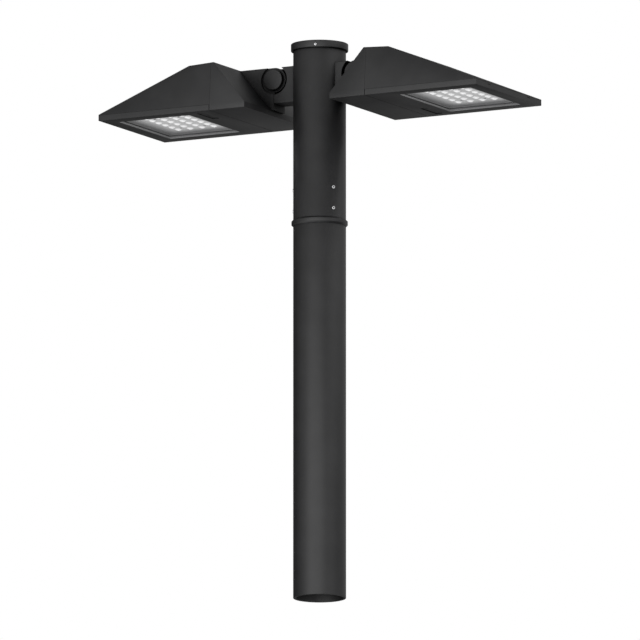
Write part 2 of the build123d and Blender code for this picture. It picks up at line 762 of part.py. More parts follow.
# ---- Door frame: shallow tray with the window, hinged at the head's front edge
notch_width = hinge_lug_width + 2 * hinge_play
lug_clear = hinge_lug_radius + hinge_play
with BuildPart() as door_frame:
    add(outer_wedge)
    cut_box(seam + 1, door_front, head_width, -1, door_height, mode=Mode.INTERSECT)
    cut_box(
        seam + 1 + door_rim, door_front - door_front_rim, head_width / 2 - door_rim,
        door_plate, 2 * door_height,
    )
    with BuildSketch(Plane.XY.offset(head_base + door_height - seal_depth)):
        seal_rear = rear_edge + seam + 1 + seal_inset
        seal_front = rear_edge + door_front - door_front_rim + 1 + seal_width
        seal_half = head_width / 2 - seal_inset
        with Locations(((seal_rear + seal_front) / 2, 0)):
            Rectangle(seal_front - seal_rear, 2 * seal_half)
            Rectangle(
                seal_front - seal_rear - 2 * seal_width, 2 * seal_half - 2 * seal_width, mode=Mode.SUBTRACT
            )
    extrude(amount=2 * seal_depth, mode=Mode.SUBTRACT)
    glass_rear = window_rear - glass_lap - glass_play
    glass_front = window_front + glass_lap + glass_play
    glass_side = window_half + glass_lap + glass_play
    rail_high = door_plate + trim_flange + glass_thickness
    cut_box(
        glass_rear - glass_rail, glass_front + glass_rail, glass_side + glass_rail, 0, rail_high,
        mode=Mode.ADD,
    )
    cut_box(glass_rear, glass_front, glass_side, door_plate, rail_high)
    cut_box(window_rear - trim_lip, window_front + trim_lip, window_half + trim_lip, -1, rail_high)
    front_top = door_frame.edges().filter_by(Axis.Y).group_by(Axis.X)[-1].sort_by(Axis.Z)[-1]
    chamfer(front_top, length=1)
    cross_rod(hinge_x, hinge_z, hinge_pin_radius, pin_hole_reach, mode=Mode.SUBTRACT)
    for way in (-1, 1):
        notch_side = way * (head_width / 2 - hinge_side)
        pin_shadow = head_length - hinge_from_front - lug_clear
        cut_box(
            pin_shadow, head_length, notch_width / 2, parting - hinge_drop - lug_clear, parting, notch_side
        )
    cut_box(latch_rear, latch_front, latch_width / 2, -1, 2 * door_plate, latch_side)
    for way in (-1, 1):
        lug_side = latch_side + way * (latch_width / 2 + latch_lug / 2)
        cut_box(
            latch_rear - latch_lug_rear, latch_rear + latch_lug_front, latch_lug / 2, 0, latch_lug_high,
            lug_side, Mode.ADD,
        )
    latch_x = rear_edge + latch_rear + latch_play + latch_thickness / 2
    latch_z = head_base + latch_recess + latch_thickness / 2
    latch_pin_half = latch_width / 2 + latch_lug / 2
    cross_rod(latch_x, latch_z, latch_pin_radius, latch_pin_half, latch_side, Mode.SUBTRACT)
export_pair(door_frame, "door_frame")

# ---- Door hinge pins: press fit in the door, turning in the housing's lugs
with BuildPart() as door_hinge_pins:
    for way in (-1, 1):
        pin_side = way * (head_width / 2 - hinge_side)
        cross_rod(hinge_x, hinge_z, hinge_pin_radius, hinge_pin_length / 2, pin_side)
export_pair(door_hinge_pins, "door_hinge_pins")

# ---- Door seal: rubber ring in the tray's groove
with BuildPart() as door_gasket:
    with BuildSketch(Plane.XY.offset(head_base + door_height - seal_depth)):
        with Locations(((seal_rear + seal_front) / 2, 0)):
            Rectangle(seal_front - seal_rear, 2 * seal_half)
            Rectangle(
                seal_front - seal_rear - 2 * seal_width, 2 * seal_half - 2 * seal_width, mode=Mode.SUBTRACT
            )
    extrude(amount=seal_depth)
export_pair(door_gasket, "door_gasket")

# ---- Window trim: the glass is bedded on its flange, and its lip lines the window's edge
with BuildPart() as window_trim:
    cut_box(
        window_rear - glass_lap, window_front + glass_lap, window_half + glass_lap,
        door_plate, door_plate + trim_flange, mode=Mode.ADD,
    )
    cut_box(
        window_rear - trim_lip, window_front + trim_lip, window_half + trim_lip,
        trim_gap, door_plate, mode=Mode.ADD,
    )
    cut_box(window_rear, window_front, window_half, 0, 2 * door_height)
export_pair(window_trim, "window_trim")

with BuildPart() as door_glass:
    cut_box(
        window_rear - glass_lap, window_front + glass_lap, window_half + glass_lap,
        door_plate + trim_flange, rail_high, mode=Mode.ADD,
    )
export_pair(door_glass, "door_glass")

# ---- Latch lever: sunk in the door's slot, hinged on a pin, with a hook behind the catch
hook_side = hook_width / 2
with BuildPart() as latch_lever:
    lever_front = latch_front - latch_play
    lever_half = latch_width / 2 - latch_play
    cross_rod(latch_x, latch_z, latch_thickness / 2, lever_half, latch_side)
    cut_box(
        latch_rear + latch_play + latch_thickness / 2, lever_front, lever_half,
        latch_recess, latch_recess + latch_thickness, latch_side, Mode.ADD,
    )
    stem_rear = hook_rear + hook_thickness
    hook_top = catch_low + catch_height + hook_play + hook_thickness
    cut_box(
        stem_rear, stem_rear + hook_thickness, hook_side, latch_recess + latch_thickness / 2, hook_top,
        latch_side, Mode.ADD,
    )
    cut_box(
        stem_rear - hook_nose, stem_rear, hook_side, hook_top - hook_thickness, hook_top,
        latch_side, Mode.ADD,
    )
    cross_rod(latch_x, latch_z, latch_pin_radius + running_play, latch_width, latch_side, Mode.SUBTRACT)
export_pair(latch_lever, "latch_lever")

with BuildPart() as latch_pin:
    cross_rod(latch_x, latch_z, latch_pin_radius, latch_pin_half, latch_side)
export_pair(latch_pin, "latch_pin")
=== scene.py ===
import json
import math

import bpy
from mathutils import Matrix, Vector

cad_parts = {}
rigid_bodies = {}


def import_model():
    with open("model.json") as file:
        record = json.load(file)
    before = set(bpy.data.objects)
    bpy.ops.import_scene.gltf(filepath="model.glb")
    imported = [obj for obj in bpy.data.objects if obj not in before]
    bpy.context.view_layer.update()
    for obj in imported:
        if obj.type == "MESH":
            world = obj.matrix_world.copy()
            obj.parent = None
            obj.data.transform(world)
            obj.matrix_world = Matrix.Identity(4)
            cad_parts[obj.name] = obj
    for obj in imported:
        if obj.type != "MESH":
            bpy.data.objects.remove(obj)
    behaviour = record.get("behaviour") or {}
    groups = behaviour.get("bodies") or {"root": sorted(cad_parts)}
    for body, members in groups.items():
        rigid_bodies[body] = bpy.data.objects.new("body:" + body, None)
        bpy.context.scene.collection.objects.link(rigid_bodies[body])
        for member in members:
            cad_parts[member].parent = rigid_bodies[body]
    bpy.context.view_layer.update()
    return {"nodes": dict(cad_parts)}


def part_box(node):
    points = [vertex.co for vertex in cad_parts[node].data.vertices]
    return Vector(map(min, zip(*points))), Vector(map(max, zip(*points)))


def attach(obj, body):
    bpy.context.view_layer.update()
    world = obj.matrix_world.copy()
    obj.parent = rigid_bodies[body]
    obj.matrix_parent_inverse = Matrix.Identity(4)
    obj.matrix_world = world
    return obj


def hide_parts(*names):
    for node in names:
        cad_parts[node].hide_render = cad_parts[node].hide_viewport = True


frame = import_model()
MM = 0.001


# -------------------------------------------------------------------------------------------------
# Pole shaft
# A 127 mm round steel tube with a 6 mm wall, saw-cut square at its foot, blasted and powder coated
# in fine-texture black.  Only its upper part belongs to this unit; a lower length socks into it.
# -------------------------------------------------------------------------------------------------

def clear_selection():
    """Nothing selected, so that the next operator only acts on what it adds."""
    if bpy.context.object and bpy.context.object.mode != "OBJECT":
        bpy.ops.object.mode_set(mode="OBJECT")
    for thing in bpy.context.scene.objects:
        thing.select_set(False)


def pick(piece):
    """Makes one piece the active and only selected object."""
    clear_selection()
    piece.select_set(True)
    bpy.context.view_layer.objects.active = piece


def settle(piece):
    """Back to object mode, with the place of the piece put into its mesh."""
    pick(piece)
    bpy.ops.object.transform_apply(location=True, rotation=True, scale=True)


def apply_modifier(piece, kind, **settings):
    """Adds one modifier with its settings and applies it."""
    pick(piece)
    modifier = piece.modifiers.new(kind.lower(), kind)
    for name, value in settings.items():
        setattr(modifier, name, value)
    bpy.ops.object.modifier_apply(modifier=modifier.name)


def smooth_rounds(piece, angle=28.0):
    """Shades the flats flat and the rounds between them smooth."""
    pick(piece)
    bpy.ops.object.shade_smooth_by_angle(angle=math.radians(angle))


def round_edges(piece, width, segments=3, angle=30.0):
    """Breaks the sharp edges and shades the rounds."""
    apply_modifier(
        piece, "BEVEL", width=width, segments=segments, limit_method="ANGLE",
        angle_limit=math.radians(angle),
    )
    smooth_rounds(piece, angle)


def linear(hex_colour):
    """An sRGB hex colour as a linear RGBA value."""
    parts = [int(hex_colour[i:i + 2], 16) / 255 for i in (0, 2, 4)]
    lit = [c / 12.92 if c <= 0.04045 else ((c + 0.055) / 1.055) ** 2.4 for c in parts]
    return (*lit, 1.0)


def node(material, kind, links=(), **settings):
    """Adds a shader node, sets its sockets and properties, and links what feeds it."""
    made = material.node_tree.nodes.new(kind)
    for name, value in settings.items():
        if name in made.inputs:
            made.inputs[name].default_value = value
        else:
            setattr(made, name, value)
    for source, socket, target in links:
        material.node_tree.links.new(source.outputs[socket], made.inputs[target])
    return made


def new_material(name, **settings):
    """An empty material with its shader, ready for a pattern."""
    material = bpy.data.materials.new(name)
    material.use_nodes = True
    material.node_tree.nodes.clear()
    shader = node(material, "ShaderNodeBsdfPrincipled", **settings)
    node(material, "ShaderNodeOutputMaterial", links=[(shader, "BSDF", "Surface")])
    return material, shader


def feed(material, source, socket, shader, target):
    """Links a pattern's output to a socket of the shader."""
    material.node_tree.links.new(source.outputs[socket], shader.inputs[target])


def powder_coat(name, dark, pale, grain_mm, roughness):
    """Fine-texture polyester powder coat: grains of about a millimetre that melt into each other,
    over blasted metal.  It gives a dry, even black that glints softly at an angle.  Deep corners
    get painted shade: an occlusion node darkens the colour and dims the gloss there."""
    material, shader = new_material(name, IOR=1.5, Metallic=0.0)
    place = node(material, "ShaderNodeTexCoord")
    grains = node(
        material, "ShaderNodeTexNoise", links=[(place, "Object", "Vector")],
        Scale=1 / (grain_mm * MM), Detail=3.0, Roughness=0.6,
    )
    specks = node(
        material, "ShaderNodeTexVoronoi", links=[(place, "Object", "Vector")],
        Scale=0.8 / (grain_mm * MM), Randomness=1.0,
    )
    clouds = node(
        material, "ShaderNodeTexNoise", links=[(place, "Object", "Vector")],
        Scale=1 / 0.06, Detail=2.0, Roughness=0.5,
    )
    blend = node(
        material, "ShaderNodeMath", links=[(grains, "Fac", 0), (clouds, "Fac", 1)],
        operation="MULTIPLY",
    )
    tone = node(material, "ShaderNodeValToRGB", links=[(blend, "Value", "Fac")])
    tone.color_ramp.elements[0].position = 0.12
    tone.color_ramp.elements[0].color = linear(dark)
    tone.color_ramp.elements[1].position = 0.40
    tone.color_ramp.elements[1].color = linear(pale)
    # Painted shade: an ambient-occlusion node darkens the colour and dims the gloss in deep corners
    # and under overhangs.
    painted_corner_shade = node(material, "ShaderNodeAmbientOcclusion", samples=8, Distance=0.12)
    painted_shade_factor = node(
        material, "ShaderNodeMapRange", links=[(painted_corner_shade, "AO", "Value")],
        **{"From Min": 0.25, "From Max": 0.95, "To Min": 0.1},
    )
    shaded = node(
        material, "ShaderNodeHueSaturation",
        links=[(tone, "Color", "Color"), (painted_shade_factor, "Result", "Value")],
    )
    feed(material, shaded, "Color", shader, "Base Color")
    painted_shade_specular = node(
        material, "ShaderNodeMath", links=[(painted_shade_factor, "Result", 0)], operation="MULTIPLY",
    )
    painted_shade_specular.inputs[1].default_value = 0.5
    feed(material, painted_shade_specular, "Value", shader, "Specular IOR Level")
    gloss = node(
        material, "ShaderNodeMapRange", links=[(grains, "Fac", "Value")],
        **{"To Min": roughness - 0.06, "To Max": roughness + 0.08},
    )
    feed(material, gloss, "Result", shader, "Roughness")
    height = node(
        material, "ShaderNodeMath", links=[(grains, "Fac", 0), (specks, "Distance", 1)],
        operation="ADD",
    )
    relief = node(
        material, "ShaderNodeBump", links=[(height, "Value", "Height")],
        Strength=0.55, Distance=0.12 * MM,
    )
    feed(material, relief, "Normal", shader, "Normal")
    return material


def dress(piece, name, body, slot, material, *stands_for):
    """Names a finished piece, gives it its material, and says what it rides on and stands for."""
    piece.name = name
    piece.data.name = name
    piece.data.materials.clear()
    piece.data.materials.append(material)
    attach(piece, body)
    if stands_for:
        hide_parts(*stands_for)


def open_tube(radius, low, high, sides=160):
    """The outer skin of a tube that stands on the pole's axis."""
    clear_selection()
    bpy.ops.mesh.primitive_cylinder_add(
        vertices=sides, radius=radius, depth=high - low, end_fill_type="NOTHING",
        location=(0, 0, (low + high) / 2),
    )
    tube = bpy.context.object
    settle(tube)
    return tube


pole_low, pole_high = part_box("pole_shaft")
pole_radius = pole_high.x
pole_wall = 6 * MM
pole_black = powder_coat("fine_texture_powder_coat_on_steel", "111112", "1E1E1F", 1.1, 0.42)

pole = open_tube(pole_radius, pole_low.z, pole_high.z)
apply_modifier(pole, "SOLIDIFY", thickness=pole_wall, offset=-1.0, use_even_offset=True)
round_edges(pole, 0.8 * MM, segments=2)
dress(pole, "pole_tube", "root", "pole_coat", pole_black, "pole_shaft")


# -------------------------------------------------------------------------------------------------
# Fitter tube
# A length of the same tube that slips over an inner sleeve on the pole's top.  A turned collar with
# 45 degree chamfers is welded round its foot and hides the joint; both are coated together.
# -------------------------------------------------------------------------------------------------

def pick_faces(piece, wanted):
    """Selects, in edit mode, the faces whose centre and normal pass a test."""
    pick(piece)
    bpy.ops.object.mode_set(mode="EDIT")
    bpy.ops.mesh.select_all(action="DESELECT")
    bpy.ops.object.mode_set(mode="OBJECT")
    bpy.context.tool_settings.mesh_select_mode = (False, False, True)
    for face in piece.data.polygons:
        face.select = wanted(face.center, face.normal)
    bpy.ops.object.mode_set(mode="EDIT")


def pick_edges(piece, wanted):
    """Selects, in edit mode, the edges whose two ends pass a test."""
    pick(piece)
    bpy.ops.object.mode_set(mode="EDIT")
    bpy.ops.mesh.select_all(action="DESELECT")
    bpy.ops.object.mode_set(mode="OBJECT")
    bpy.context.tool_settings.mesh_select_mode = (False, True, False)
    points = piece.data.vertices
    for edge in piece.data.edges:
        edge.select = wanted(points[edge.vertices[0]].co, points[edge.vertices[1]].co)
    bpy.ops.object.mode_set(mode="EDIT")


fitter_low, fitter_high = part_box("fitter_tube")
fitter_wall = 4 * MM
collar_height = 16 * MM
collar_stand = fitter_high.x - pole_radius
collar_top = fitter_low.z + collar_height

fitter = open_tube(pole_radius, fitter_low.z, fitter_high.z)
pick_faces(fitter, lambda centre, normal: True)
bpy.ops.mesh.bisect(plane_co=(0, 0, collar_top), plane_no=(0, 0, 1))
pick_faces(fitter, lambda centre, normal: centre.z < collar_top)
bpy.ops.mesh.extrude_region_shrink_fatten(TRANSFORM_OT_shrink_fatten={"value": collar_stand})
outer = pole_radius + collar_stand * 0.9
pick_edges(
    fitter,
    lambda a, b: a.xy.length > outer and b.xy.length > outer and abs(a.z - b.z) < MM,
)
bpy.ops.mesh.bevel(offset=collar_stand * 0.96, segments=1, affect="EDGES")
apply_modifier(fitter, "SOLIDIFY", thickness=fitter_wall, offset=-1.0, use_even_offset=True)
round_edges(fitter, 0.6 * MM, segments=2)
dress(fitter, "fitter_sleeve", "root", "pole_coat", pole_black, "fitter_tube")


# -------------------------------------------------------------------------------------------------
# Pole cap
# A flat round cover, turned from aluminium, whose skirt drops over the fitter's top and stands
# 5.5 mm out past it.  It is coated like the pole and held by three small screws in the skirt.
# -------------------------------------------------------------------------------------------------

cap_low, cap_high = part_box("pole_cap")
cap_radius = cap_high.x
cap_skirt = 12 * MM
cap_wall = cap_radius - pole_radius - 0.2 * MM

clear_selection()
bpy.ops.mesh.primitive_cylinder_add(
    vertices=160, radius=cap_radius, depth=cap_high.z - cap_low.z,
    location=(0, 0, (cap_low.z + cap_high.z) / 2),
)
cap = bpy.context.object
settle(cap)
pick_faces(cap, lambda centre, normal: normal.z < -0.5)
bpy.ops.mesh.inset(thickness=cap_wall, depth=0)
bpy.ops.mesh.extrude_region_move(TRANSFORM_OT_translate={"value": (0, 0, cap_skirt)})
pick_faces(cap, lambda centre, normal: normal.z > 0.5 and centre.z > cap_high.z - MM)
bpy.ops.mesh.inset(thickness=8 * MM, depth=-0.4 * MM)
round_edges(cap, 1.3 * MM, segments=3)
dress(cap, "pole_cap_cover", "root", "pole_coat", pole_black, "pole_cap")


# -------------------------------------------------------------------------------------------------
# Set screws and cap screws
# Stainless screws with a hexagon socket, left bare, so they show as bright dots on the black coat.
# Six M8 screws clamp the fitter on its sleeve and three M6 screws hold the cap.
# -------------------------------------------------------------------------------------------------

def stainless(name):
    """Turned and passivated A2 stainless steel: pale, with a soft satin gloss and turning marks
    too fine to see, drawn as rings of half a millimetre."""
    material, shader = new_material(name, **{"Base Color": linear("D9D9DA"), "Metallic": 1.0})
    place = node(material, "ShaderNodeTexCoord")
    marks = node(
        material, "ShaderNodeTexNoise", links=[(place, "Object", "Vector")],
        Scale=1 / (0.5 * MM), Detail=2.0,
    )
    gloss = node(
        material, "ShaderNodeMapRange", links=[(marks, "Fac", "Value")],
        **{"To Min": 0.22, "To Max": 0.42},
    )
    feed(material, gloss, "Result", shader, "Roughness")
    return material


def socket_screw(radius, length, stand):
    """One screw along +X from the origin outwards, with a domed head and a hexagon socket."""
    clear_selection()
    bpy.ops.mesh.primitive_cylinder_add(
        vertices=32, radius=radius, depth=length, location=(length / 2, 0, 0),
        rotation=(0, math.radians(90), 0),
    )
    screw = bpy.context.object
    settle(screw)
    pick_faces(screw, lambda centre, normal: normal.x > 0.5)
    bpy.ops.mesh.bevel(offset=stand * 0.6, segments=3, affect="EDGES")
    bpy.ops.object.mode_set(mode="OBJECT")
    clear_selection()
    bpy.ops.mesh.primitive_cylinder_add(
        vertices=6, radius=radius * 0.55, depth=radius, location=(length, 0, 0),
        rotation=(0, math.radians(90), 0),
    )
    key = bpy.context.object
    settle(key)
    apply_modifier(screw, "BOOLEAN", object=key, operation="DIFFERENCE", solver="EXACT")
    bpy.data.objects.remove(key)
    return screw


def joined(pieces):
    """Joins several pieces into the first of them."""
    clear_selection()
    for piece in pieces:
        piece.select_set(True)
    bpy.context.view_layer.objects.active = pieces[0]
    bpy.ops.object.join()
    return pieces[0]


def copy_of(piece, matrix):
    """A copy with its own mesh, moved by a matrix."""
    twin = piece.copy()
    twin.data = piece.data.copy()
    twin.data.transform(matrix)
    bpy.context.scene.collection.objects.link(twin)
    return twin


def screw_ring(screw, start, heights, angles):
    """Copies of a screw set radially round the pole."""
    ring = []
    for height in heights:
        for angle in angles:
            turn = Matrix.Rotation(math.radians(angle), 4, "Z")
            ring.append(copy_of(screw, turn @ Matrix.Translation((start, 0, height))))
    bpy.data.objects.remove(screw)
    return joined(ring)


bright_steel = stainless("passivated_stainless_steel")
screw_low, screw_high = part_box("fitter_set_screws")
set_radius = 4 * MM
set_stand = 1.2 * MM
set_start = pole_radius - fitter_wall - 0.3 * MM
set_length = pole_radius + set_stand - set_start
set_screws = screw_ring(
    socket_screw(set_radius, set_length, set_stand), set_start,
    (screw_low.z + set_radius, screw_high.z - set_radius), (-30, 90, 210),
)
dress(set_screws, "set_screws", "root", "stainless_screw", bright_steel, "fitter_set_screws")

lid_low, lid_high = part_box("cap_screws")
lid_radius = 3 * MM
lid_start = pole_radius - fitter_wall
lid_length = cap_radius + set_stand - lid_start
lid_screws = screw_ring(
    socket_screw(lid_radius, lid_length, set_stand), lid_start,
    ((lid_low.z + lid_high.z) / 2,), (-70, 50, 170),
)
dress(lid_screws, "cap_screw_set", "root", "stainless_screw", bright_steel, "cap_screws")


# -------------------------------------------------------------------------------------------------
# Arms
# Short hollow castings, screwed against the fitter from inside over a rubber saddle, with the
# tongue of the knuckle at the outer end.  They keep their designed form and take the heads' coat.
# -------------------------------------------------------------------------------------------------

SIDES = ("right", "left")
head_black = powder_coat(
    "fine_texture_powder_coat_on_die_casting", "131314", "212122", 0.9, 0.44,
)


def repaint(name, material):
    """Gives a carried-over node its finish."""
    thing = frame["nodes"][name]
    thing.data.materials.clear()
    thing.data.materials.append(material)


for side in SIDES:
    repaint(f"{side}_arm", head_black)


# -------------------------------------------------------------------------------------------------
# Rear housings
# Pressure die-cast aluminium shells with 4 mm walls, drafted sides and softly broken edges.  The
# neck with its two knuckle cheeks is cast on.  They meet the front housings at a seam just past
# the ridge.
# -------------------------------------------------------------------------------------------------

front_low, front_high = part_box("right_front_housing")
door_low, door_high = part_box("right_door_frame")
neck_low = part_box("right_rear_housing")[0]
head_length = 400 * MM
head_half = front_high.y
head_base = door_low.z
rear_edge = front_high.x - head_length
seam = front_low.x
seam_gap = 0.4 * MM
shell_wall = 4 * MM
lip_top = 14 * MM
rear_height = 13.5 * MM
ridge, ridge_height = 88.5 * MM, 118.5 * MM
roof_break, break_height = 156 * MM, 115 * MM
front_height = 15 * MM
side_run, side_rise = 104.5, 9
block_height = 130 * MM
neck_nose = 30 * MM
pivot_x = neck_low.x + neck_nose
pivot_z = head_base + 87 * MM


def slice_off(piece, point, outward):
    """Cuts away what lies beyond a plane and closes the cut."""
    pick_faces(piece, lambda centre, normal: True)
    bpy.ops.mesh.bisect(plane_co=point, plane_no=outward, use_fill=True, clear_outer=True)
    bpy.ops.object.mode_set(mode="OBJECT")


def block(rear, front, half, low, high, middle=0.0):
    """A block between two places along the head, two heights and two sides."""
    clear_selection()
    bpy.ops.mesh.primitive_cube_add(
        size=1, location=((rear + front) / 2, middle, (low + high) / 2),
        scale=(front - rear, 2 * half, high - low),
    )
    settle(bpy.context.object)
    return bpy.context.object


def cross_rod(radius, half, x, z, middle=0.0, sides=96):
    """A rod along Y."""
    clear_selection()
    bpy.ops.mesh.primitive_cylinder_add(
        vertices=sides, radius=radius, depth=2 * half, location=(x, middle, z),
        rotation=(math.radians(90), 0, 0),
    )
    settle(bpy.context.object)
    return bpy.context.object


def carve(piece, tool, operation="DIFFERENCE"):
    """Cuts a tool out of a piece, or adds it, and throws the tool away."""
    apply_modifier(piece, "BOOLEAN", object=tool, operation=operation, solver="EXACT")
    bpy.data.objects.remove(tool)


def line_normal(run, rise):
    """The outward normal of a line in the side view that goes forward by run and up by rise."""
    return Vector((-rise, 0, run)).normalized()


def head_wedge(inset):
    """The head's outer form, or its hollow when inset is the wall."""
    wedge = block(
        rear_edge + inset, rear_edge + head_length - inset, head_half - inset,
        head_base + inset, head_base + block_height,
    )
    outline = (
        (0, rear_height), (ridge, ridge_height), (roof_break, break_height),
        (head_length, front_height),
    )
    for (rear, low), (front, high) in zip(outline, outline[1:]):
        outward = line_normal(front - rear, high - low)
        corner = Vector((rear_edge + rear, 0, head_base + low))
        slice_off(wedge, corner - outward * inset, outward)
    for way in (-1, 1):
        outward = Vector((0, way * side_run, side_rise)).normalized()
        edge = Vector((0, way * head_half, head_base + lip_top))
        slice_off(wedge, edge - outward * inset, outward)
    return wedge


def split_copy(piece, *cuts):
    """A copy of a piece, cut back by planes given as a point and an outward normal."""
    part = copy_of(piece, Matrix.Identity(4))
    for point, outward in cuts:
        slice_off(part, point, outward)
    return part


def both_heads(piece, name, body, slot, material, *nodes):
    """The finished right piece and its twin, turned half round the pole."""
    twin = copy_of(piece, Matrix.Rotation(math.pi, 4, "Z"))
    for side, thing in (("right", piece), ("left", twin)):
        stands_for = [f"{side}_{n}" for n in nodes]
        dress(thing, f"{side}_{name}", f"{side}_{body}", slot, material, *stands_for)


outer_wedge = head_wedge(0)
apply_modifier(
    outer_wedge, "BEVEL", width=1.2 * MM, segments=3, limit_method="ANGLE",
    angle_limit=math.radians(5),
)
hollow_wedge = head_wedge(shell_wall)

rear_shell = split_copy(outer_wedge, (Vector((seam - seam_gap, 0, 0)), Vector((1, 0, 0))))
carve(rear_shell, copy_of(hollow_wedge, Matrix.Identity(4)))

neck_half = 28 * MM
neck_top = head_base + 117 * MM
neck_round = 1.2 * MM
cheek_face = 23.5 * MM
slot_half = 14.3 * MM
slot_radius = 29.5 * MM
recess_radius = 34.5 * MM
slope = line_normal(ridge, ridge_height - rear_height)
neck = block(pivot_x, seam, neck_half, head_base + rear_height, neck_top)
pick_edges(neck, lambda a, b: abs(a.x - b.x) > shell_wall)
bpy.ops.mesh.bevel(offset=neck_round, segments=3, affect="EDGES")
slice_off(neck, Vector((rear_edge + shell_wall / 2, 0, head_base + rear_height)), -slope)
nose = cross_rod(neck_nose, neck_half, pivot_x, pivot_z, sides=94)
pick_faces(nose, lambda centre, normal: abs(normal.y) > 0.5)
bpy.ops.mesh.bevel(offset=neck_round, segments=3, affect="EDGES")
carve(neck, nose, "UNION")
for way in (-1, 1):
    recess_middle = way * (cheek_face + neck_half)
    carve(neck, cross_rod(recess_radius, neck_half, pivot_x, pivot_z, recess_middle))
slot_front = pivot_x + slot_radius
carve(neck, cross_rod(slot_radius, slot_half, pivot_x, pivot_z))
carve(neck, block(pivot_x - slot_radius, slot_front, slot_half, pivot_z, neck_top + slot_radius))
carve(neck, block(pivot_x - 2 * slot_radius, pivot_x, slot_half, pivot_z - slot_radius, pivot_z))
carve(rear_shell, neck, "UNION")
neck_wall = 2 * shell_wall
core_rear, core_front = slot_front + neck_wall, rear_edge + 88 * MM
core_bottom = head_base + 40 * MM
core = block(core_rear, core_front, neck_half - neck_wall, core_bottom, neck_top - neck_wall)
carve(rear_shell, core)
smooth_rounds(rear_shell)
both_heads(rear_shell, "rear_shell", "head", "head_coat", head_black, "rear_housing")


# -------------------------------------------------------------------------------------------------
# Knuckle caps
# Round die-cast covers, 50 mm across, pressed over the pivot bolt's head and nut.  They stand 6 mm
# out of the cheeks in a round recess and are coated with the heads.
# -------------------------------------------------------------------------------------------------

cap_disc = 25 * MM
cap_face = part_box("right_pivot_caps")[1].y
cap_half = (cap_face - cheek_face) / 2
cap_middle = (cap_face + cheek_face) / 2
cap_hollow = 17.5 * MM
cap_shell = 2.5 * MM
covers = []
for way in (-1, 1):
    cover = cross_rod(cap_disc, cap_half, pivot_x, pivot_z, way * cap_middle)
    pick_faces(cover, lambda centre, normal: normal.y * way > 0.5)
    bpy.ops.mesh.bevel(offset=1.6 * MM, segments=4, affect="EDGES")
    pick_faces(cover, lambda centre, normal: normal.y * way < -0.5)
    bpy.ops.mesh.inset(thickness=cap_disc - cap_hollow, depth=0)
    cap_depth = way * (cap_face - cheek_face - cap_shell)
    bpy.ops.mesh.extrude_region_move(TRANSFORM_OT_translate={"value": (0, cap_depth, 0)})
    smooth_rounds(cover, angle=30)
    covers.append(cover)
both_heads(joined(covers), "knuckle_caps", "head", "head_coat", head_black, "pivot_caps")


# -------------------------------------------------------------------------------------------------
# Front housings
# The long die-cast roofs of the heads: a bulkhead at the seam, a falling roof and a 10 mm seal
# flange round the open underside.  Four posts inside carry the heat spreader, and two lugs the
# door.
# -------------------------------------------------------------------------------------------------

bulkhead = 4 * MM
flange = 10 * MM
flange_height = 3 * MM
spreader_low, spreader_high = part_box("right_heat_spreader")
front_shell = split_copy(
    outer_wedge,
    (Vector((seam, 0, 0)), Vector((-1, 0, 0))),
    (Vector((0, 0, head_base + lip_top)), Vector((0, 0, -1))),
)
front_hollow = split_copy(
    hollow_wedge,
    (Vector((seam + bulkhead, 0, 0)), Vector((-1, 0, 0))),
    (Vector((0, 0, head_base + lip_top + flange_height)), Vector((0, 0, -1))),
)
carve(front_shell, front_hollow)
carve(
    front_shell,
    block(
        seam + bulkhead, front_high.x - flange - bulkhead, head_half - flange,
        head_base, head_base + lip_top + 1.1 * flange_height,
    ),
)
post_inset = 16 * MM
post_radius = 5 * MM
post_sink = 2 * MM
roof_fall = (break_height - front_height) / (head_length - roof_break)
posts = []
for x in (spreader_low.x + post_inset, spreader_high.x + 2 * MM - post_inset):
    for y in (spreader_low.y + post_inset, spreader_high.y - post_inset):
        roof = head_base + front_height + (front_high.x - x) * roof_fall - shell_wall
        post_top = roof + post_sink
        clear_selection()
        bpy.ops.mesh.primitive_cone_add(
            vertices=32, radius1=post_radius, radius2=post_radius * 1.25,
            depth=post_top - spreader_high.z, location=(x, y, (post_top + spreader_high.z) / 2),
        )
        posts.append(bpy.context.object)
        settle(posts[-1])
latch_side = 98 * MM
catch_half, catch_thickness = 20 * MM, 3 * MM
catch_front = rear_edge + 130.5 * MM
catch_low = head_base + lip_top + flange_height
catch_high = catch_low + catch_thickness
catch = block(seam + bulkhead / 2, catch_front, catch_half, catch_low, catch_high, latch_side)
hinge_x = front_high.x - 2.5 * MM
hinge_z = head_base + 11.5 * MM
lug_radius, lug_half = 2.2 * MM, 6 * MM
lug_top = head_base + 15.2 * MM
lug_sides = (66 * MM - head_half, head_half - 66 * MM)
lugs = []
for lug_side in lug_sides:
    lugs.append(cross_rod(lug_radius, lug_half, hinge_x, hinge_z, lug_side, sides=24))
    lugs.append(
        block(hinge_x - lug_radius, hinge_x + lug_radius, lug_half, hinge_z, lug_top, lug_side)
    )
for fitting in (*posts, catch, *lugs):
    carve(front_shell, fitting, "UNION")
smooth_rounds(front_shell)
both_heads(front_shell, "front_shell", "head", "head_coat", head_black, "front_housing")


# -------------------------------------------------------------------------------------------------
# Door frames
# Flat die-cast trays that close the heads from below, hinged on pins at the front edge.  Each has
# the window, a raised rail round the glass, a groove for the seal and a slot for the latch.
# -------------------------------------------------------------------------------------------------

